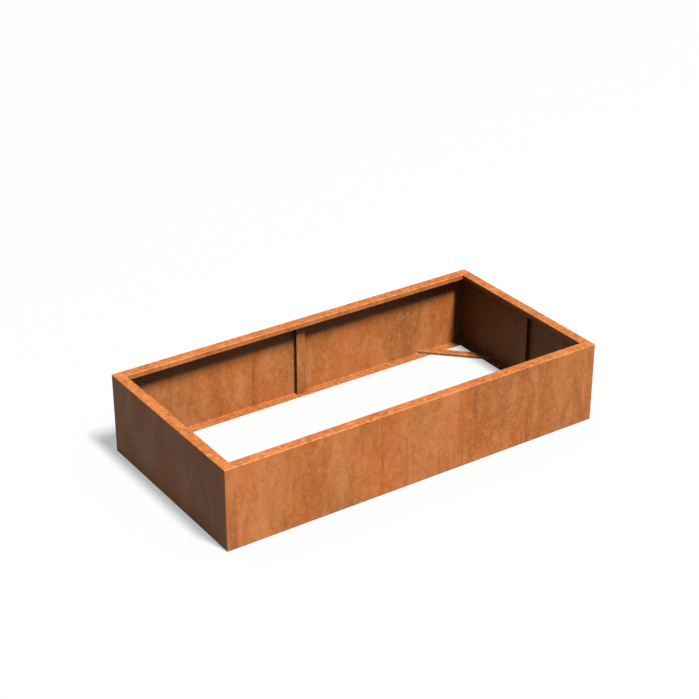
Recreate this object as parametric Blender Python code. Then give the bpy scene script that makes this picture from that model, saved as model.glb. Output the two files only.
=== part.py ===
"""Bottomless planter box welded up from folded weathering-steel sheet.

Four wall panels are folded from one gauge of sheet: a flange turned in at the bottom, the upright
wall, a flat rim turned in at the top, and a lip turned down along the rim's inner edge.  Their ends
are mitred and welded.  A folded channel stiffens the middle of each wall, and a low folded channel
braces each bottom corner across the two flanges.  Nothing moves.

Frame: origin on the ground at the centre, +X along the length, +Y towards the back, +Z up, metres.
"""

import math

import bmesh
import bpy
from mathutils import Vector

# Overall size and sheet.
LENGTH = 2.000
WIDTH = 1.000
HEIGHT = 0.400
SHEET = 0.002
BEND_RADIUS = 0.004     # outside radius of every fold
CORNER_ROUND = 0.003    # ground-off weld along each upright outer corner
GAP = 0.0003            # between pieces that touch

# Folded edges of a wall panel, outside dimensions.
RIM = 0.050
LIP = 0.025
FLANGE = 0.050

# Channel that stiffens a wall, and how far it stands from the wall's middle.
RIB_WIDTH = 0.050
RIB_DEPTH = 0.020
BACK_RIB_X = -0.0015
RIGHT_RIB_Y = -0.008

# Channel across each bottom corner.
BRACE_WIDTH = 0.040
BRACE_HEIGHT = 0.015
BRACE_SETBACK = 0.1845      # from the outer corner to the channel's middle line
BRACE_END_CLEARANCE = 0.002     # from the wall's inner face

# Weld beads.
SEAM_LEG = 0.0035       # fillet up each inner corner
STITCH_LEG = 0.003      # fillets along ribs and braces
BEAD_WIDTH = 0.005      # flat beads over the mitres of rim and flange
BEAD_HEIGHT = 0.0015
BEAD_INSET = 0.009      # from the outer face to where a mitre bead starts
RIB_STITCH = 0.030
RIB_STITCH_HEIGHTS = (0.10, 0.30)
BRACE_STITCH = 0.030

# Steps in each quarter turn.
BEND_STEPS = 6
ROUND_STEPS = 4
BEAD_STEPS = 4

SHARP_ANGLE = math.radians(30)
QUARTER = math.pi / 2

# Corners in anticlockwise order seen from above, starting at the front left.
CORNERS = {
    "front_left": (-1, -1),
    "front_right": (1, -1),
    "back_right": (1, 1),
    "back_left": (-1, 1),
}


def clear_scene():
    for item in list(bpy.data.objects):
        bpy.data.objects.remove(item, do_unlink=True)


def steel(name, colour, roughness, metallic):
    material = bpy.data.materials.new(name)
    material.use_nodes = True
    shader = material.node_tree.nodes["Principled BSDF"]
    shader.inputs["Base Color"].default_value = (*colour, 1.0)
    shader.inputs["Roughness"].default_value = roughness
    shader.inputs["Metallic"].default_value = metallic
    return material


def add_object(name, solid, material, place=(0, 0, 0), turn=0.0):
    """Name a finished solid, give it its material, and stand it in its place."""
    bmesh.ops.recalc_face_normals(solid, faces=solid.faces)
    mesh = bpy.data.meshes.new(name)
    solid.to_mesh(mesh)
    solid.free()
    mesh.shade_smooth()
    mesh.set_sharp_from_angle(angle=SHARP_ANGLE)
    mesh.materials.append(material)
    item = bpy.data.objects.new(name, mesh)
    item.location = place
    item.rotation_euler = (0, 0, turn)
    bpy.context.collection.objects.link(item)
    return item


def extrude_outline(start, shift):
    """Closed solid from an outline of points, pushed along by shift, a vector for each point."""
    solid = bmesh.new()
    near = [solid.verts.new(point) for point in start]
    face = solid.faces.new(near)
    made = bmesh.ops.extrude_face_region(solid, geom=[face])["geom"]
    for vert in made:
        if isinstance(vert, bmesh.types.BMVert):
            vert.co += shift(vert.co)
    return solid


def bar(section, end):
    """Solid with its section in YZ, running along X between the ends -end(y) and +end(y)."""
    start = [(-end(y), y, z) for y, z in section]
    return extrude_outline(start, lambda point: Vector((2 * end(point.y), 0, 0)))


def post(plan, low, high):
    """Upright solid with the given plan outline."""
    start = [(x, y, low) for x, y in plan]
    return extrude_outline(start, lambda point: Vector((0, 0, high - low)))


def folded_section(path):
    """Outline of sheet folded at right angles, whose outer skin follows the path's corners."""
    points = [Vector(point) for point in path]
    first_turn = (points[2] - points[1]).normalized()
    outer = [points[0]]
    inner = [points[0] + SHEET * first_turn]
    for before, corner, after in zip(points, points[1:], points[2:]):
        along = (corner - before).normalized()
        turned = (after - corner).normalized()
        centre = corner + BEND_RADIUS * (turned - along)
        for step in range(BEND_STEPS + 1):
            angle = QUARTER * step / BEND_STEPS
            ray = along * math.sin(angle) - turned * math.cos(angle)
            outer.append(centre + BEND_RADIUS * ray)
            inner.append(centre + (BEND_RADIUS - SHEET) * ray)
    last_run = (points[-2] - points[-3]).normalized()
    outer.append(points[-1])
    inner.append(points[-1] - SHEET * last_run)
    return [tuple(point) for point in outer + inner[::-1]]


def quarter_disc(leg):
    """Convex fillet in the corner between the two positive axes."""
    angles = [QUARTER * step / BEAD_STEPS for step in range(BEAD_STEPS + 1)]
    return [(0, 0)] + [(leg * math.cos(angle), leg * math.sin(angle)) for angle in angles]


def flat_bead(base, side):
    """Low half-oval bead on the level base, bulging up (side 1) or down (side -1)."""
    angles = [QUARTER * step / BEAD_STEPS for step in range(2 * BEAD_STEPS + 1)]
    return [(BEAD_WIDTH / 2 * math.cos(angle), base + side * BEAD_HEIGHT * math.sin(angle))
            for angle in angles]


def make_corner_cutter():
    """What grinding takes off the four upright corners, as one set of closed cutting pieces."""
    reach = 0.01
    angles = [QUARTER * step / ROUND_STEPS for step in range(ROUND_STEPS + 1)]
    arc = [Vector((CORNER_ROUND * (1 - math.sin(angle)), CORNER_ROUND * (1 - math.cos(angle))))
           for angle in angles]
    start = arc[0] + (arc[0] - arc[1])
    finish = arc[-1] + (arc[-1] - arc[-2])
    outline = [start, *arc[1:-1], finish, Vector((-reach, finish.y)),
               Vector((-reach, -reach)), Vector((start.x, -reach))]
    cutter = bmesh.new()
    for side_x, side_y in CORNERS.values():
        plan = [(side_x * (LENGTH / 2 - point.x), side_y * (WIDTH / 2 - point.y))
                for point in outline]
        piece = post(plan, -reach, HEIGHT + reach)
        mesh = bpy.data.meshes.new("corner_grinding_piece")
        piece.to_mesh(mesh)
        piece.free()
        cutter.from_mesh(mesh)
        bpy.data.meshes.remove(mesh)
    item = add_object("corner_grinding", cutter, None)
    item.hide_render = True
    item.display_type = "WIRE"
    return item


def wall_places():
    """Each wall's half length, the middle of its outer face, and its turn about Z."""
    return {
        "front_wall": (LENGTH / 2, (0, -WIDTH / 2, 0), 0),
        "right_wall": (WIDTH / 2, (LENGTH / 2, 0, 0), QUARTER),
        "back_wall": (LENGTH / 2, (0, WIDTH / 2, 0), 2 * QUARTER),
        "left_wall": (WIDTH / 2, (-LENGTH / 2, 0, 0), 3 * QUARTER),
    }


def make_walls(material, cutter):
    section = folded_section([(FLANGE, 0), (0, 0), (0, HEIGHT), (RIM, HEIGHT), (RIM, HEIGHT - LIP)])
    mitre_gap = GAP / math.sqrt(2)
    for name, (half, place, turn) in wall_places().items():
        solid = bar(section, lambda y, half=half: half - y - mitre_gap)
        wall = add_object(name, solid, material, place, turn)
        grinding = wall.modifiers.new("ground_corners", "BOOLEAN")
        grinding.operation = "DIFFERENCE"
        grinding.solver = "EXACT"
        grinding.object = cutter


def make_ribs(material, weld):
    """Channels open towards the wall, as long as its flat, with two stitches down each side."""
    back = SHEET + GAP
    front = back + RIB_DEPTH
    half = RIB_WIDTH / 2
    plan = folded_section([(-half, back), (-half, front), (half, front), (half, back)])
    foot = BEND_RADIUS + GAP
    offsets = {"front": 0.0, "right": RIGHT_RIB_Y, "back": -BACK_RIB_X, "left": 0.0}
    for wall, (_, place, turn) in wall_places().items():
        side = wall.removesuffix("_wall")
        along = Vector((math.cos(turn), math.sin(turn), 0))
        middle = Vector(place) + offsets[side] * along
        add_object(f"{side}_rib", post(plan, foot, HEIGHT - foot), material, middle, turn)
        for hand, x_sign in (("left", -1), ("right", 1)):
            for level, height in zip(("lower", "upper"), RIB_STITCH_HEIGHTS):
                stitch = [(x_sign * (half + GAP + x), back + y) for x, y in quarter_disc(STITCH_LEG)]
                low = height - RIB_STITCH / 2
                name = f"{side}_rib_weld_{hand}_{level}"
                add_object(name, post(stitch, low, low + RIB_STITCH), weld, middle, turn)


def brace_place(side_x, side_y):
    """Middle of a corner's brace, and the turn that points its +Y at the corner."""
    inward = Vector((-side_x, -side_y, 0)).normalized()
    corner = Vector((side_x * LENGTH / 2, side_y * WIDTH / 2, 0))
    turn = math.atan2(-inward.y, -inward.x) - QUARTER
    return corner + BRACE_SETBACK * inward, turn


def make_braces(material, weld):
    """Channels open downwards, cut parallel to the walls, stitched to the flanges they lie on."""
    foot = SHEET + GAP
    half = BRACE_WIDTH / 2
    section = folded_section([(-half, foot), (-half, foot + BRACE_HEIGHT),
                              (half, foot + BRACE_HEIGHT), (half, foot)])
    end_line = BRACE_SETBACK - math.sqrt(2) * (SHEET + BRACE_END_CLEARANCE)
    flange_line = BRACE_SETBACK + half - math.sqrt(2) * FLANGE
    stitch_middle = (flange_line + end_line + half) / 2
    stitch = [(-half - GAP - y, foot + z) for y, z in quarter_disc(STITCH_LEG)]
    for corner, (side_x, side_y) in CORNERS.items():
        place, turn = brace_place(side_x, side_y)
        add_object(f"{corner}_brace", bar(section, lambda y: end_line - y), material, place, turn)
        along = Vector((math.cos(turn), math.sin(turn), 0))
        for hand, x_sign in (("a", -1), ("b", 1)):
            add_object(f"{corner}_brace_weld_{hand}", bar(stitch, lambda y: BRACE_STITCH / 2), weld,
                       place + x_sign * stitch_middle * along, turn)


def make_corner_seams(weld):
    """Fillet up each inner corner, and the beads behind the mitres of the rim and the flange."""
    clear = SHEET + GAP
    foot = BEND_RADIUS + GAP
    bead_start = math.sqrt(2) * BEAD_INSET
    bead_end = math.sqrt(2) * (RIM - BEND_RADIUS)
    half = (bead_end - bead_start) / 2
    for index, (corner, (side_x, side_y)) in enumerate(CORNERS.items()):
        turn = index * QUARTER
        inner = Vector((side_x * (LENGTH / 2 - clear), side_y * (WIDTH / 2 - clear), 0))
        add_object(f"{corner}_corner_weld", post(quarter_disc(SEAM_LEG), foot, HEIGHT - foot), weld,
                   inner, turn)
        inward = Vector((-side_x, -side_y, 0)).normalized()
        outer = Vector((side_x * LENGTH / 2, side_y * WIDTH / 2, 0))
        middle = outer + (bead_start + half) * inward
        for part, base, side in (("rim", HEIGHT - clear, -1), ("flange", clear, 1)):
            add_object(f"{corner}_{part}_weld", bar(flat_bead(base, side), lambda y: half), weld,
                       middle, turn + QUARTER / 2)


def main():
    clear_scene()
    wall_steel = steel("wall_steel", (0.47, 0.175, 0.060), 0.72, 0.15)
    rib_steel = steel("rib_steel", (0.44, 0.165, 0.058), 0.74, 0.15)
    brace_steel = steel("brace_steel", (0.45, 0.170, 0.060), 0.70, 0.15)
    weld_metal = steel("weld_metal", (0.27, 0.120, 0.060), 0.60, 0.35)
    cutter = make_corner_cutter()
    make_walls(wall_steel, cutter)
    make_ribs(rib_steel, weld_metal)
    make_braces(brace_steel, weld_metal)
    make_corner_seams(weld_metal)


main()
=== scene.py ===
import math
import random
from collections import namedtuple

import bmesh
import bpy
from mathutils import Matrix, Vector


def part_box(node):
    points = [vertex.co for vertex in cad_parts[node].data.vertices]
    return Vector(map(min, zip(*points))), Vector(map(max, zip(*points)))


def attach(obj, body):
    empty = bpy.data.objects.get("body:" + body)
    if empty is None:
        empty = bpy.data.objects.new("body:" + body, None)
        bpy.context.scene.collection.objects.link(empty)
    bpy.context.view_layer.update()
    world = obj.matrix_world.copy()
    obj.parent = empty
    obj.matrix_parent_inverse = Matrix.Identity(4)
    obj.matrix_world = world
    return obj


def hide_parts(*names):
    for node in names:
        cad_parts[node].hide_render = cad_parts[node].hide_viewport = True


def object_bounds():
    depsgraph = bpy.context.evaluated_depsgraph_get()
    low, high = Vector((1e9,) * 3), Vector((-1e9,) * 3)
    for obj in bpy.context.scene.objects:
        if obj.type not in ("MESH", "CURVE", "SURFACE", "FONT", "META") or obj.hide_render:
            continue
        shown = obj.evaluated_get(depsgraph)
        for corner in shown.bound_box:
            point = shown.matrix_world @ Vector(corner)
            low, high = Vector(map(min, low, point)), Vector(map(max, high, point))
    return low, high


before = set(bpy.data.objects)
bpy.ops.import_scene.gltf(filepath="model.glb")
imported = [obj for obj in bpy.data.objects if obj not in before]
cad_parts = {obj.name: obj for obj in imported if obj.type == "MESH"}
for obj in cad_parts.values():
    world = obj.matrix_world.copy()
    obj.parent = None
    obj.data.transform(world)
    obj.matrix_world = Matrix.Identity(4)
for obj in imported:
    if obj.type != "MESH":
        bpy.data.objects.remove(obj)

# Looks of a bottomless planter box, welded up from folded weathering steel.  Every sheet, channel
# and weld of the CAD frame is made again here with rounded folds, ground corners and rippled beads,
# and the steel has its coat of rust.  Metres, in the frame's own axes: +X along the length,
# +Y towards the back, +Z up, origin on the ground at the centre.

CAD_LOW, CAD_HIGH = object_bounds()
LENGTH, WIDTH, HEIGHT = CAD_HIGH - CAD_LOW

# Sheet.
SHEET = 0.002
BEND_RADIUS = 0.004         # outside radius of every fold
EDGE_ROUND = 0.0004         # cut edges, deburred
CORNER_ROUND = 0.003        # upright outer corners, ground after welding
CLEARANCE = 0.0003          # between pieces that touch
SEAM = 0.00002              # between walls at a ground mitre

# Folded edges of a wall, outside dimensions.
RIM = 0.050
LIP = 0.025
FLANGE = 0.050

# Channels.
BRACE_WIDTH = 0.040

# Weld beads.
SEAM_LEG = 0.0035
STITCH_LEG = 0.003
MITRE_BEAD_WIDTH = 0.005
MITRE_BEAD_HEIGHT = 0.0015
RIPPLE_PITCH = 0.0035
RIPPLE_DEPTH = 0.22
RIPPLE_STEPS = 4
FEWEST_RIPPLES = 4
BEAD_SWING = 0.06           # how much a bead's size wanders, as a part of it
BEAD_SWING_RATE = 9.0       # radians of that wandering in one ripple
BEAD_END = 0.45             # size of a bead where it starts and stops
BEAD_ARC_STEPS = 6

# Fineness of the folded sheet.
BEND_STEPS = 8
STATION_STEP = 0.020
GROUND_STATIONS = (0.0, 0.0009, 0.0015, 0.0022, 0.0030, 0.0050, 0.0120, 0.0200, 0.0300)
EDGE_STATIONS = (0.0, 0.0015, 0.0040)
GROUND_AND_HIGHLIGHT_STRIP = 0.020        # how far grinding marks and painted highlight reach from an upright corner
CUT_WEAR_AND_HIGHLIGHT = 1.6              # rubbing and painted highlight of a cut edge, where that of a fold is 1
WEAR_AND_HIGHLIGHT_REACH = 0.002          # how far a cut edge's rubbing and painted highlight reach
SHARP_ANGLE = math.radians(35)
QUARTER = math.pi / 2

CORNERS = {
    "front_left": (-1, -1),
    "front_right": (1, -1),
    "back_right": (1, 1),
    "back_left": (-1, 1),
}
SIDES = ("front", "right", "back", "left")

# Colours of the rust, linear.
ORANGE = (0.540, 0.144, 0.021)
OCHRE = (0.470, 0.150, 0.029)
UMBER = (0.270, 0.071, 0.014)
PALE = (0.680, 0.250, 0.085)
# steel ground at the upright corners, lightened as painted highlight
GROUND_AND_HIGHLIGHT = (0.580, 0.175, 0.055)
WELD_BROWN = (0.400, 0.120, 0.034)
WELD_DARK = (0.260, 0.085, 0.028)

Tones = namedtuple("Tones", "first second dark pale")
RUST = Tones(ORANGE, OCHRE, UMBER, PALE)
WELD_RUST = Tones(WELD_BROWN, WELD_DARK, UMBER, PALE)

# Noises of the rust, per metre: each is drawn out upwards by 1/upward, and moved by its shift so
# that it keeps apart from the others.
Noise = namedtuple("Noise", "scale detail roughness distortion upward shift",
                   defaults=(0.0, 1.0, (0, 0, 0)))
NOISES = {
    "drift": Noise(3.2, 2.0, 0.45, 0.4, upward=0.25),
    "swell": Noise(4.6, 2.0, 0.50, 0.3, upward=0.25, shift=(2.9, 4.1, 0.8)),
    "bloom": Noise(11.0, 5.0, 0.60, 0.9, upward=0.40),
    "runs": Noise(17.0, 2.0, 0.50, 0.5, upward=0.07),
    "blotches": Noise(46.0, 5.0, 0.66, 0.8, upward=0.70),
    "patches": Noise(22.0, 2.0, 0.50, shift=(0.7, 6.1, 2.3)),
    "winding": Noise(30.0, 2.0, 0.55, 1.2, shift=(5.9, 2.7, 8.1)),
    # Breaks up the rubbed rust and painted highlight along folds and edges.
    "rubbing_and_highlight": Noise(75.0, 3.0, 0.70),
    "pitting": Noise(80.0, 2.5, 0.60, 0.6),
    "flecks": Noise(140.0, 1.5, 0.55, shift=(3.1, 1.7, 5.3)),
    "grain": Noise(210.0, 3.0, 0.75),
}

# Tints laid over the two tones, in this order: in the pale or the dark tone, how strong, and the
# values of its noise where it starts and where it is full.
Layer = namedtuple("Layer", "noise tone strength starts full")
BROAD_LAYERS = (
    Layer("swell", "pale", 0.34, 0.46, 0.66),
    Layer("swell", "dark", 0.26, 0.50, 0.34),
    Layer("bloom", "pale", 0.60, 0.46, 0.70),
    Layer("bloom", "dark", 0.38, 0.48, 0.30),
    Layer("blotches", "pale", 0.46, 0.50, 0.66),
    Layer("blotches", "dark", 0.34, 0.48, 0.34),
    Layer("runs", "dark", 0.60, 0.57, 0.76),
)
FLECK_LAYER = Layer("flecks", "pale", 0.75, 0.62, 0.74)
FIRST_TO_SECOND = (0.40, 0.60)      # of the drift, from the first tone to the second
VEIN_WIDTH = 0.020      # of the winding noise to either side of its middle
VEIN_PATCHES = (0.46, 0.60)
VEIN_STRENGTH = 0.80
PIT_RANGE = (0.64, 0.70)
PIT_PATCHES = (0.40, 0.62)
PIT_STRENGTH = 0.90

# Rust on level faces is evener in colour, grittier and more mottled.  Level faces are also painted
# darker, as painted shade that tones down the light on them, and darker still towards the bottom.
LEVEL_FROM_NORMAL = (0.50, 0.95)
LEVEL_EVENNESS = 0.46
GRIT = 0.12
LEVEL_GRIT = 0.12
GRIT_RANGE = (0.30, 0.70)
LEVEL_MOTTLE = (-0.22, 0.20)
MOTTLE_RANGE = (0.34, 0.66)
# Parts of their colour that level faces keep under the painted shade, at the top and at the bottom.
RIM_SHADED_TONE = 0.77
FLANGE_SHADED_TONE = 0.66          # painted shade on level faces, darkest down at the flange
FLANGE_BELOW = 0.1          # of the height
RIM_ABOVE = 0.9

# Steel ground by the upright corners and rubbed steel, both with painted highlight.
GROUND_AND_HIGHLIGHT_RANGE = (0.30, 0.60)
GROUND_AND_HIGHLIGHT_STRENGTH = (0.08, 0.42)
RUBBED_AND_HIGHLIT_RANGE = (0.48, 0.60)
RUBBED_AND_HIGHLIT_STRENGTH = 0.62

# Surface of the rust.
RUST_IOR = 1.5
RUST_ROUGHNESS = 0.60
WELD_ROUGHNESS = 0.52
GLOSSIEST = -0.02           # added to the roughness where the bloom is thin
DULLEST = 0.06              # and where it is thick
BLOOM_RANGE = (0.32, 0.66)
RUBBED_SHINE = 0.15
BUMP_STRENGTH = 0.40
BUMP_HEIGHT = 0.0006
BLOTCH_BUMP = 0.7           # where the grain's is 1
PIT_BUMP = 0.5
BRACE_SHIFT = (1.9, 8.7, 0.6)       # move the pattern, so that pieces do not share their marks
WELD_SHIFT = (4.4, 3.3, 1.1)

# Shader sockets of Mix when it mixes colours.
MIX_FACTOR = 0
MIX_FIRST = 6
MIX_SECOND = 7
MIX_RESULT = 2

# Light.
KEY_TOWARDS = (0.100, -0.458, 1.0)
KEY_DISTANCE = 240.0
KEY_BREADTH = math.radians(8.5)         # angles that it fills, seen from the object
KEY_TALLNESS = math.radians(17.5)
KEY_IRRADIANCE = 6.6
SKY_TINT = (0.88, 1.0, 1.10)
SKY_OVERHEAD = 0.30
HORIZON_GLOW = 0.12
HORIZON_FRONT_GLOW = 0.21       # more of it from in front
HORIZON_HEIGHT = 0.14           # sine of the angle by which the glow has faded to 1/e
WHITE = (1.0, 1.0, 1.0)

# Floor.
FLOOR_REACH = 60.0
FLOOR_COLOUR = (0.286, 0.281, 0.279)
FLOOR_GLOW = 0.430

# Camera.
CAMERA_PLACE = (-4.0149, -5.8609, 4.1710)
CAMERA_DOWN = math.radians(27.650)
CAMERA_HEADING = math.radians(-34.125)      # anticlockwise from +Y
CAMERA_LENS = 90.448
CAMERA_SENSOR = 36.0

random.seed(11)


# Material ------------------------------------------------------------------------------------

def add_node(tree, kind, inputs=None, **settings):
    """New shader node.  An input is a plain value or another node's output."""
    node = tree.nodes.new("ShaderNode" + kind)
    for setting, value in settings.items():
        setattr(node, setting, value)
    for key, value in (inputs or {}).items():
        if isinstance(value, bpy.types.NodeSocket):
            tree.links.new(value, node.inputs[key])
        else:
            node.inputs[key].default_value = value
    return node


def spread(tree, value, low, high, to_low=0.0, to_high=1.0):
    """Stretch the range low to high of a value over a new range, and hold it there."""
    inputs = {"Value": value, "From Min": low, "From Max": high, "To Min": to_low, "To Max": to_high}
    return add_node(tree, "MapRange", inputs, interpolation_type="SMOOTHSTEP").outputs["Result"]


def maths(tree, operation, first, second=0.0):
    return add_node(tree, "Math", {0: first, 1: second}, operation=operation).outputs[0]


def vector_maths(tree, operation, first, second):
    return add_node(tree, "VectorMath", {0: first, 1: second}, operation=operation).outputs[0]


def blended(tree, factor, first, second):
    """Colour between first and second."""
    inputs = {MIX_FACTOR: factor, MIX_FIRST: first, MIX_SECOND: second}
    return add_node(tree, "Mix", inputs, data_type="RGBA").outputs[MIX_RESULT]


def opaque(colour):
    return (*colour, 1.0)


def noise(tree, place, kind):
    """Values at a place of one of the kinds in NOISES."""
    moved = vector_maths(tree, "ADD", place, kind.shift)
    drawn = vector_maths(tree, "MULTIPLY", moved, (1, 1, kind.upward))
    inputs = {"Vector": drawn, "Scale": kind.scale, "Detail": kind.detail,
              "Roughness": kind.roughness, "Distortion": kind.distortion}
    return add_node(tree, "TexNoise", inputs).outputs["Fac"]


def layered(tree, colour, layer, marks, tones):
    """Colour with a layer's tint over it."""
    if layer.starts < layer.full:
        amount = spread(tree, marks[layer.noise], layer.starts, layer.full, 0.0, layer.strength)
    else:
        amount = spread(tree, marks[layer.noise], layer.full, layer.starts, layer.strength, 0.0)
    return blended(tree, amount, colour, opaque(getattr(tones, layer.tone)))


def make_veins(tree, marks):
    """Thin winding lines in some patches, 1 on a line."""
    off_middle = maths(tree, "ABSOLUTE", maths(tree, "SUBTRACT", marks["winding"], 0.5))
    lines = spread(tree, off_middle, 0.0, VEIN_WIDTH, 1.0, 0.0)
    return maths(tree, "MULTIPLY", lines, spread(tree, marks["patches"], *VEIN_PATCHES))


def make_pits(tree, marks):
    """Small pits in some patches, 1 in a pit."""
    pits = spread(tree, marks["pitting"], *PIT_RANGE)
    return maths(tree, "MULTIPLY", pits, spread(tree, marks["patches"], *PIT_PATCHES))


def rust_colour(tree, marks, pits, level, tones):
    """Two tones that run down the sheet, under pale bloom, dark drips, veins, pits and flecks."""
    colour = blended(tree, spread(tree, marks["drift"], *FIRST_TO_SECOND), opaque(tones.first),
                     opaque(tones.second))
    for layer in BROAD_LAYERS:
        colour = layered(tree, colour, layer, marks, tones)
    veins = maths(tree, "MULTIPLY", make_veins(tree, marks), VEIN_STRENGTH)
    colour = blended(tree, veins, colour, opaque(tones.pale))
    pitted = maths(tree, "MULTIPLY", pits, PIT_STRENGTH)
    colour = blended(tree, pitted, colour, opaque(tones.dark))
    colour = layered(tree, colour, FLECK_LAYER, marks, tones)
    evenness = maths(tree, "MULTIPLY", level, LEVEL_EVENNESS)
    return blended(tree, evenness, colour, opaque(tones.first))


def rust_tone(tree, marks, level, altitude):
    """Lightness of the rust, a factor on its colour, with painted shade that darkens level faces,
    more towards the bottom.
    """
    grit = maths(tree, "ADD", maths(tree, "MULTIPLY", level, LEVEL_GRIT), GRIT)
    tone = maths(tree, "MULTIPLY", grit, spread(tree, marks["grain"], *GRIT_RANGE, -1.0, 1.0))
    mottle = spread(tree, marks["blotches"], *MOTTLE_RANGE, *LEVEL_MOTTLE)
    tone = maths(tree, "ADD", tone, maths(tree, "MULTIPLY", level, mottle))
    # Painted shade: level faces darkened, more towards the bottom.
    level_shaded_tone = spread(tree, altitude, FLANGE_BELOW * HEIGHT, RIM_ABOVE * HEIGHT, FLANGE_SHADED_TONE, RIM_SHADED_TONE)
    painted_level_shade = maths(tree, "MULTIPLY", level, maths(tree, "SUBTRACT", 1.0, level_shaded_tone))
    return maths(tree, "MULTIPLY", maths(tree, "ADD", tone, 1.0), maths(tree, "SUBTRACT", 1.0, painted_level_shade))


def rubbed_and_highlit_edges(tree, marks):
    """Broken pale lines along folds and cut edges: rust rubbed off, and painted highlight where
    folds and edges catch the light.
    """
    wear_and_highlight = add_node(tree, "Attribute", attribute_name="wear_and_highlight").outputs["Fac"]
    rubbed_and_highlit = spread(tree, marks["rubbing_and_highlight"], *RUBBED_AND_HIGHLIT_RANGE, 0.0, RUBBED_AND_HIGHLIT_STRENGTH)
    return maths(tree, "MULTIPLY", wear_and_highlight, rubbed_and_highlit)


def ground_and_highlit_corners(tree, marks):
    """Strips by the upright corners, where the weld was ground off and painted highlight lightens
    the steel.
    """
    ground_and_highlight = add_node(tree, "Attribute", attribute_name="ground_and_highlight").outputs["Fac"]
    return maths(tree, "MULTIPLY", ground_and_highlight, spread(tree, marks["blotches"], *GROUND_AND_HIGHLIGHT_RANGE, *GROUND_AND_HIGHLIGHT_STRENGTH))


def rust_roughness(tree, marks, rubbed_and_highlit, roughness):
    dull = spread(tree, marks["bloom"], *BLOOM_RANGE, roughness + GLOSSIEST, roughness + DULLEST)
    return maths(tree, "SUBTRACT", dull, maths(tree, "MULTIPLY", rubbed_and_highlit, RUBBED_SHINE))


def rust_bump(tree, marks, pits):
    height = maths(tree, "ADD", marks["grain"], maths(tree, "MULTIPLY", marks["blotches"], BLOTCH_BUMP))
    height = maths(tree, "SUBTRACT", height, maths(tree, "MULTIPLY", pits, PIT_BUMP))
    inputs = {"Strength": BUMP_STRENGTH, "Distance": BUMP_HEIGHT, "Height": height}
    return add_node(tree, "Bump", inputs).outputs["Normal"]


def rusted_steel(name, tones=RUST, shift=(0, 0, 0), roughness=RUST_ROUGHNESS):
    """Steel with its coat of rust, painted shade on level faces, and painted highlight along folds,
    cut edges and upright corners.
    """
    material = bpy.data.materials.new(name)
    material.use_nodes = True
    tree = material.node_tree
    shader = tree.nodes["Principled BSDF"]
    shader.inputs["IOR"].default_value = RUST_IOR
    coordinates = add_node(tree, "TexCoord")
    place = vector_maths(tree, "ADD", coordinates.outputs["Object"], shift)
    altitude = add_node(tree, "SeparateXYZ", {0: coordinates.outputs["Object"]}).outputs["Z"]
    upturned = add_node(tree, "SeparateXYZ", {0: coordinates.outputs["Normal"]}).outputs["Z"]
    level = spread(tree, upturned, *LEVEL_FROM_NORMAL)
    marks = {mark: noise(tree, place, kind) for mark, kind in NOISES.items()}
    pits = make_pits(tree, marks)
    rubbed_and_highlit = rubbed_and_highlit_edges(tree, marks)
    colour = rust_colour(tree, marks, pits, level, tones)
    tone = rust_tone(tree, marks, level, altitude)
    colour = add_node(tree, "VectorMath", {0: colour, "Scale": tone}, operation="SCALE").outputs[0]
    # Painted highlight and grinding marks in strips by the upright corners.
    colour = blended(tree, ground_and_highlit_corners(tree, marks), colour, opaque(GROUND_AND_HIGHLIGHT))
    # Painted highlight and rubbed rust along folds and cut edges, in the pale tone.
    colour = blended(tree, rubbed_and_highlit, colour, opaque(tones.pale))
    tree.links.new(colour, shader.inputs["Base Color"])
    tree.links.new(rust_roughness(tree, marks, rubbed_and_highlit, roughness), shader.inputs["Roughness"])
    tree.links.new(rust_bump(tree, marks, pits), shader.inputs["Normal"])
    return material


# Folded sheet --------------------------------------------------------------------------------

def run_distances(length, start_stations, end_stations):
    """Where points lie along a straight run: close together by its ends, STATION_STEP between."""
    start = list(start_stations)
    end = [length - station for station in reversed(end_stations)]
    middle = end[0] - start[-1]
    count = max(1, round(middle / STATION_STEP))
    between = [start[-1] + middle * step / count for step in range(1, count)]
    return start + between + end


def wear_and_highlight_at(distance):
    """How much of a rubbed and highlit edge shows, going away from it."""
    return max(0.0, 1.0 - distance / WEAR_AND_HIGHLIGHT_REACH)


def flat_skins(start, along, length, behind, cut_start, cut_finish):
    """Skins of a flat stretch, rubbed and given painted highlight by the ends that are cut edges."""
    skins = []
    for distance in run_distances(length, EDGE_STATIONS, EDGE_STATIONS):
        outer = start + distance * along
        wear_and_highlight = max(wear_and_highlight_at(distance) if cut_start else 0.0,
                   wear_and_highlight_at(length - distance) if cut_finish else 0.0)
        skins.append((outer, outer + SHEET * behind, wear_and_highlight))
    return skins


def bent_skins(corner, along, turned):
    """Skins of a fold from one direction to another, rubbed and given painted highlight most along
    its middle.
    """
    centre = corner + BEND_RADIUS * (turned - along)
    skins = []
    for step in range(1, BEND_STEPS):
        angle = QUARTER * step / BEND_STEPS
        ray = along * math.sin(angle) - turned * math.cos(angle)
        crest = 1.0 - abs(2.0 * step / BEND_STEPS - 1.0)
        skins.append((centre + BEND_RADIUS * ray, centre + (BEND_RADIUS - SHEET) * ray, crest))
    return skins


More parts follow.
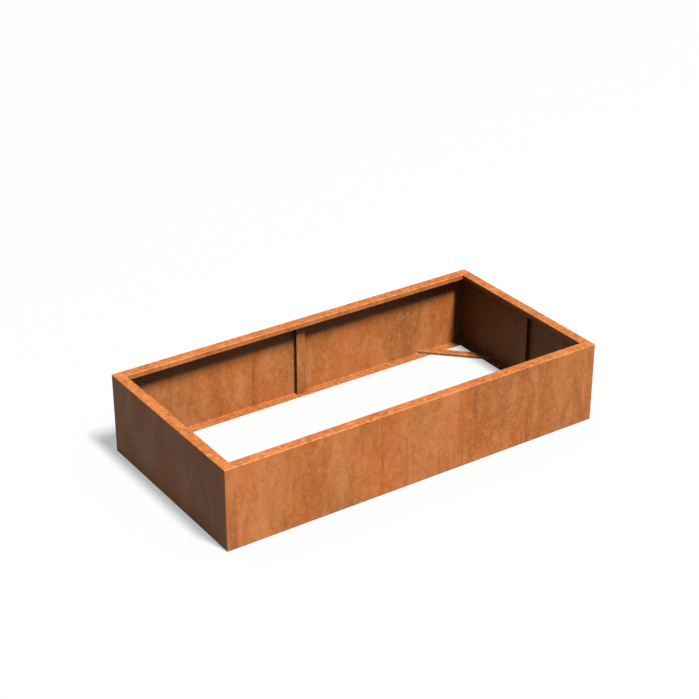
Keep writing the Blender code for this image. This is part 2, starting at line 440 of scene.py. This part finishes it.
def folded_skins(path):
    """Points of the outer skin of sheet folded at right angles along the path's corners, each with
    the inner skin's point behind it and its wear and painted highlight.  The cut edges start
    EDGE_ROUND in."""
    points = [Vector(point) for point in path]
    runs = [(after - before).normalized() for before, after in zip(points, points[1:])]
    skins = []
    for index, along in enumerate(runs):
        first = index == 0
        last = index == len(runs) - 1
        start = points[index] + (EDGE_ROUND if first else BEND_RADIUS) * along
        finish = points[index + 1] - (EDGE_ROUND if last else BEND_RADIUS) * along
        behind = -runs[index - 1] if last else runs[index + 1]
        skins += flat_skins(start, along, (finish - start).length, behind, first, last)
        if not last:
            skins += bent_skins(points[index + 1], along, runs[index + 1])
    return skins


def rounded_edge(skin, beyond):
    """The two points that round off a cut edge, past the last skin points before it."""
    outer, inner = skin[0], skin[1]
    away = (outer - beyond[0]).normalized() * EDGE_ROUND
    through = (inner - outer).normalized() * EDGE_ROUND
    return outer + away + through, inner + away - through


def section_ring(skins):
    """Closed outline of a folded sheet and its wear and painted highlight: out along the outer skin,
    back along the inner one, which has neither."""
    start = rounded_edge(skins[0], skins[1])
    end = rounded_edge(skins[-1], skins[-2])
    outer = [skin[0] for skin in skins]
    inner = [skin[1] for skin in reversed(skins)]
    wear_and_highlight = [skin[2] for skin in skins]
    ring = [start[0], *outer, end[0], end[1], *inner, start[1]]
    return ring, [CUT_WEAR_AND_HIGHLIGHT, *wear_and_highlight, CUT_WEAR_AND_HIGHLIGHT, CUT_WEAR_AND_HIGHLIGHT, *([0.0] * len(wear_and_highlight)), CUT_WEAR_AND_HIGHLIGHT]


def ground_off(along, depth, half):
    """A wall's point, brought in to the rounded corner that grinding left."""
    centre = Vector((half - CORNER_ROUND, CORNER_ROUND))
    ray = Vector((abs(along), depth)) - centre
    if ray.x > 0 and ray.y < 0 and ray.length > CORNER_ROUND:
        rounded = centre + CORNER_ROUND * ray.normalized()
        return math.copysign(rounded.x, along), rounded.y
    return along, depth


def join_rows(solid, rows):
    """Skin a solid between one ring of points and the next."""
    for row, after in zip(rows, rows[1:]):
        for index in range(len(row)):
            following = (index + 1) % len(row)
            solid.faces.new((row[index], row[following], after[following], after[index]))


def close_across(solid, row):
    """Close a folded sheet's end with faces from its outer skin to its inner one."""
    for index in range(len(row) // 2 - 1):
        opposite = len(row) - 1 - index
        solid.faces.new((row[index], row[index + 1], row[opposite - 1], row[opposite]))


def folded_bar(name, path, half, end, material, end_stations, grind=False):
    """Sheet folded along path, a section in YZ, running along X from -end(y) to end(y)."""
    ring, ring_wear_and_highlight = section_ring(folded_skins(path))
    solid = bmesh.new()
    wear_and_highlight_layer = solid.verts.layers.float.new("wear_and_highlight")
    ground_and_highlight_layer = solid.verts.layers.float.new("ground_and_highlight")
    rows = []
    for distance in run_distances(2 * half, end_stations, end_stations):
        station = distance - half
        from_end = half - abs(station)
        row = []
        for (y, z), wear_and_highlight in zip(ring, ring_wear_and_highlight):
            x = station / half * end(y)
            if grind:
                x, y = ground_off(x, y, half)
            vert = solid.verts.new((x, y, z))
            # Painted highlight and rubbing along folds and cut edges, and along the cut ends as well.
            vert[wear_and_highlight_layer] = max(wear_and_highlight, wear_and_highlight_at(from_end))
            # Painted highlight and grinding marks in strips by the upright corners.
            vert[ground_and_highlight_layer] = 1.0 if grind and from_end < GROUND_AND_HIGHLIGHT_STRIP else 0.0
            row.append(vert)
        rows.append(row)
    join_rows(solid, rows)
    close_across(solid, rows[0])
    close_across(solid, rows[-1])
    return finished(name, solid, material)


def finished(name, solid, material):
    """Smooth mesh object, with creases where its faces turn more than SHARP_ANGLE."""
    bmesh.ops.recalc_face_normals(solid, faces=solid.faces)
    mesh = bpy.data.meshes.new(name)
    solid.to_mesh(mesh)
    solid.free()
    mesh.shade_smooth()
    mesh.set_sharp_from_angle(angle=SHARP_ANGLE)
    mesh.materials.append(material)
    piece = bpy.data.objects.new(name, mesh)
    bpy.context.scene.collection.objects.link(piece)
    return piece


def settle(piece, matrix, node):
    """Carry a piece's mesh to its place, and let it stand for its CAD node."""
    piece.data.transform(matrix)
    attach(piece, "root")
    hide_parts(node)


# Pieces --------------------------------------------------------------------------------------

def wall_matrix(side):
    """From a wall's own axes, X along it and Y inward from its outer face, to the frame's."""
    turn = SIDES.index(side) * QUARTER
    inward = Vector((-math.sin(turn), math.cos(turn), 0))
    reach = WIDTH / 2 if side in ("front", "back") else LENGTH / 2
    return Matrix.Translation(-reach * inward) @ Matrix.Rotation(turn, 4, "Z")


def make_walls(material):
    path = [(FLANGE, 0), (0, 0), (0, HEIGHT), (RIM, HEIGHT), (RIM, HEIGHT - LIP)]
    for side in SIDES:
        half = (LENGTH if side in ("front", "back") else WIDTH) / 2
        piece = folded_bar(f"{side}_wall_sheet", path, half, lambda y: half - y - SEAM, material,
                           GROUND_STATIONS, grind=True)
        settle(piece, wall_matrix(side), f"{side}_wall")


def local_box(node, matrix):
    """A node's box in other axes, at right angles to the frame's."""
    low, high = (matrix.inverted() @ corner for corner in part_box(node))
    return (Vector(map(min, low, high)), Vector(map(max, low, high)))


def make_ribs(material, weld):
    for side in SIDES:
        matrix = wall_matrix(side)
        low, high = local_box(f"{side}_rib", matrix)
        half_width = (high.x - low.x) / 2
        half_height = (high.z - low.z) / 2
        centre = (low + high) / 2
        # The channel is folded lying along X, then stood on end.
        upright = Matrix.Rotation(-QUARTER, 4, "Y")
        path = [(low.y, half_width), (high.y, half_width), (high.y, -half_width),
                (low.y, -half_width)]
        piece = folded_bar(f"{side}_rib_channel", path, half_height,
                           lambda y, end=half_height: end, material, EDGE_STATIONS)
        lift = Matrix.Translation((centre.x, 0, centre.z))
        settle(piece, matrix @ lift @ upright, f"{side}_rib")
        make_rib_stitches(side, matrix, weld)


def make_rib_stitches(side, matrix, weld):
    for hand, x_sign in (("left", -1), ("right", 1)):
        for level in ("lower", "upper"):
            node = f"{side}_rib_weld_{hand}_{level}"
            low, high = local_box(node, matrix)
            root_x = low.x if x_sign > 0 else high.x
            root = Vector((root_x, low.y, (low.z + high.z) / 2))
            frame_matrix = Matrix(((0, x_sign, 0, root.x), (0, 0, 1, root.y),
                                   (1, 0, 0, root.z), (0, 0, 0, 1)))
            bead(f"{node}_bead", fillet(STITCH_LEG), high.z - low.z, weld,
                 matrix @ frame_matrix, node)


def brace_setback(corner, side_x):
    """Distance from the outer corner to the middle line of its brace, from the brace's box."""
    low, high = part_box(f"{corner}_brace")
    reach = sorted(LENGTH / 2 - side_x * x for x in (low.x, high.x))
    return sum(reach) / math.sqrt(2) - BRACE_WIDTH / 2, reach[0]


def make_braces(material, weld):
    half_width = BRACE_WIDTH / 2
    for corner, (side_x, side_y) in CORNERS.items():
        low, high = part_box(f"{corner}_brace")
        setback, clear = brace_setback(corner, side_x)
        inward = Vector((-side_x, -side_y, 0)).normalized()
        middle = Vector((side_x * LENGTH / 2, side_y * WIDTH / 2, 0)) + setback * inward
        turn = math.atan2(-inward.y, -inward.x) - QUARTER
        matrix = Matrix.Translation(middle) @ Matrix.Rotation(turn, 4, "Z")
        end_line = setback - math.sqrt(2) * clear
        path = [(-half_width, low.z), (-half_width, high.z), (half_width, high.z),
                (half_width, low.z)]
        piece = folded_bar(f"{corner}_brace_channel", path, end_line,
                           lambda y, line=end_line: line - y, material, EDGE_STATIONS)
        settle(piece, matrix, f"{corner}_brace")
        for hand in ("a", "b"):
            make_brace_stitch(corner, hand, middle, turn, low.z, weld)


def make_brace_stitch(corner, hand, middle, turn, foot, weld):
    """Fillet along the foot of the brace's inner side, where it lies on the flange."""
    node = f"{corner}_brace_weld_{hand}"
    low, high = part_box(node)
    along = Vector((math.cos(turn), math.sin(turn), 0))
    across = Vector((-along.y, along.x, 0))
    centre = (low + high) / 2
    root = middle - (BRACE_WIDTH / 2 + CLEARANCE) * across
    root += along * (centre - root).dot(along)
    spans = high - low
    length = (spans.x + spans.y) / math.sqrt(2) - STITCH_LEG
    matrix = Matrix((
        (along.x, -across.x, 0, root.x),
        (along.y, -across.y, 0, root.y),
        (0, 0, 1, foot),
        (0, 0, 0, 1),
    ))
    bead(f"{node}_bead", fillet(STITCH_LEG), length, weld, matrix, node)


def make_corner_seams(weld):
    """Fillet up each inner corner, and the beads behind the mitres of rim and flange."""
    for index, (corner, (side_x, side_y)) in enumerate(CORNERS.items()):
        node = f"{corner}_corner_weld"
        low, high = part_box(node)
        root_x = high.x if side_x > 0 else low.x
        root_y = high.y if side_y > 0 else low.y
        matrix = Matrix(((0, -side_x, 0, root_x), (0, 0, -side_y, root_y),
                         (1, 0, 0, (low.z + high.z) / 2), (0, 0, 0, 1)))
        bead(f"{node}_bead", fillet(SEAM_LEG), high.z - low.z, weld, matrix, node)
        turn = index * QUARTER + QUARTER / 2
        for part, side in (("rim", -1), ("flange", 1)):
            node = f"{corner}_{part}_weld"
            low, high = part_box(node)
            centre = (low + high) / 2
            centre.z = low.z if side > 0 else high.z
            spans = high - low
            length = (spans.x + spans.y) / math.sqrt(2) - MITRE_BEAD_WIDTH
            flip = Matrix.Diagonal((1, 1, side, 1))
            matrix = Matrix.Translation(centre) @ Matrix.Rotation(turn, 4, "Z") @ flip
            bead(f"{node}_bead", flat_bead(), length, weld, matrix, node)


# Weld beads ----------------------------------------------------------------------------------

def fillet(leg):
    """Section of a fillet whose root is the corner between the positive axes."""
    angles = [QUARTER * step / BEAD_ARC_STEPS for step in range(BEAD_ARC_STEPS + 1)]
    return [(0.0, 0.0)] + [(leg * math.cos(angle), leg * math.sin(angle)) for angle in angles]


def flat_bead():
    """Section of a low half-oval bead on the level."""
    angles = [QUARTER * step / BEAD_ARC_STEPS for step in range(2 * BEAD_ARC_STEPS + 1)]
    return [(MITRE_BEAD_WIDTH / 2 * math.cos(angle), MITRE_BEAD_HEIGHT * math.sin(angle))
            for angle in angles]


def bead_size(step, count, swing):
    """Size of a bead's section at a step along it, ridged by ripples and tapered at its ends."""
    ripple = (step % RIPPLE_STEPS) / RIPPLE_STEPS
    wander = math.sin(BEAD_SWING_RATE * step / RIPPLE_STEPS + swing) * random.random()
    from_end = min(1.0, min(step, count - step) / RIPPLE_STEPS)
    taper = BEAD_END + (1.0 - BEAD_END) * math.sqrt(from_end)
    return (1.0 - RIPPLE_DEPTH * ripple) * (1.0 - BEAD_SWING * (1.0 - wander)) * taper


def bead(name, section, length, material, matrix, node):
    """Weld bead along X, its section scaled about the root by ripples left as the puddle froze."""
    count = max(FEWEST_RIPPLES, round(length / RIPPLE_PITCH)) * RIPPLE_STEPS
    swing = random.uniform(0, math.tau)
    solid = bmesh.new()
    rows = []
    for step in range(count + 1):
        x = length * (step / count - 0.5)
        size = bead_size(step, count, swing)
        rows.append([solid.verts.new((x, y * size, z * size)) for y, z in section])
    join_rows(solid, rows)
    solid.faces.new(rows[0])
    solid.faces.new(rows[-1])
    if matrix.to_3x3().determinant() < 0:
        mirror = Matrix.Diagonal((-1, 1, 1, 1))
        bmesh.ops.transform(solid, matrix=mirror, verts=solid.verts)
        matrix = matrix @ mirror
    settle(finished(name, solid, material), matrix, node)


# Stage ---------------------------------------------------------------------------------------

def make_floor():
    """Plain pale floor, which takes shadows and throws no light back up."""
    solid = bmesh.new()
    solid.faces.new([solid.verts.new((x * FLOOR_REACH, y * FLOOR_REACH, 0)) for x, y in CORNERS.values()])
    material = bpy.data.materials.new("pale_floor")
    material.use_nodes = True
    shader = material.node_tree.nodes["Principled BSDF"]
    shader.inputs["Base Color"].default_value = opaque(FLOOR_COLOUR)
    shader.inputs["Emission Color"].default_value = opaque(WHITE)
    shader.inputs["Emission Strength"].default_value = FLOOR_GLOW
    material.cycles.emission_sampling = "NONE"
    shader.inputs["Roughness"].default_value = 1.0
    shader.inputs["Specular IOR Level"].default_value = 0.0
    floor = finished("studio_floor", solid, material)
    floor.visible_diffuse = False


def make_sky():
    """Soft light from all round, brightest overhead and in a glow along the horizon.  The camera
    sees plain white instead."""
    world = bpy.data.worlds.new("studio")
    bpy.context.scene.world = world
    world.use_nodes = True
    tree = world.node_tree
    background = tree.nodes["Background"]
    ray = add_node(tree, "TexCoord").outputs["Generated"]
    height = add_node(tree, "SeparateXYZ", {0: ray}).outputs["Z"]
    depth = add_node(tree, "SeparateXYZ", {0: ray}).outputs["Y"]
    overhead = maths(tree, "POWER", maths(tree, "MAXIMUM", height, 0.0), 2.0)
    overhead = maths(tree, "MULTIPLY", overhead, SKY_OVERHEAD)
    band = maths(tree, "DIVIDE", height, HORIZON_HEIGHT)
    falloff = maths(tree, "MULTIPLY", maths(tree, "MULTIPLY", band, band), -1.0)
    in_front = maths(tree, "MULTIPLY", maths(tree, "MINIMUM", depth, 0.0), -HORIZON_FRONT_GLOW)
    glow = maths(tree, "MULTIPLY", maths(tree, "EXPONENT", falloff),
                 maths(tree, "ADD", in_front, HORIZON_GLOW))
    light = maths(tree, "ADD", overhead, glow)
    seen = add_node(tree, "LightPath").outputs["Is Camera Ray"]
    tree.links.new(maths(tree, "MAXIMUM", light, seen), background.inputs["Strength"])
    tint = blended(tree, seen, opaque(SKY_TINT), opaque(WHITE))
    tree.links.new(tint, background.inputs["Color"])


def make_key_light():
    """One large soft light high in front, far enough away to shine evenly, and taller than wide."""
    lamp = bpy.data.lights.new("key_light", "AREA")
    lamp.shape = "ELLIPSE"
    lamp.size = 2 * KEY_DISTANCE * math.tan(KEY_BREADTH / 2)
    lamp.size_y = 2 * KEY_DISTANCE * math.tan(KEY_TALLNESS / 2)
    lamp.energy = KEY_IRRADIANCE * math.pi * KEY_DISTANCE ** 2
    item = bpy.data.objects.new("key_light", lamp)
    towards = Vector(KEY_TOWARDS).normalized()
    item.location = KEY_DISTANCE * towards
    item.rotation_euler = towards.to_track_quat("Z", "Y").to_euler()
    item.visible_camera = False
    bpy.context.scene.collection.objects.link(item)


def make_camera():
    lens = bpy.data.cameras.new("camera")
    lens.lens = CAMERA_LENS
    lens.sensor_width = CAMERA_SENSOR
    camera = bpy.data.objects.new("camera", lens)
    camera.location = CAMERA_PLACE
    camera.rotation_euler = (QUARTER - CAMERA_DOWN, 0, CAMERA_HEADING)
    bpy.context.scene.collection.objects.link(camera)
    bpy.context.scene.camera = camera


def main():
    wall_steel = rusted_steel("wall_steel")
    rib_steel = rusted_steel("rib_steel")
    brace_steel = rusted_steel("brace_steel", shift=BRACE_SHIFT)
    weld_metal = rusted_steel("weld_metal", WELD_RUST, WELD_SHIFT, WELD_ROUGHNESS)
    make_walls(wall_steel)
    make_ribs(rib_steel, weld_metal)
    make_braces(brace_steel, weld_metal)
    make_corner_seams(weld_metal)
    make_floor()
    make_sky()
    make_key_light()
    make_camera()
    bpy.context.scene.view_settings.view_transform = "Standard"
    bpy.context.scene.cycles.diffuse_bounces = 0


main()
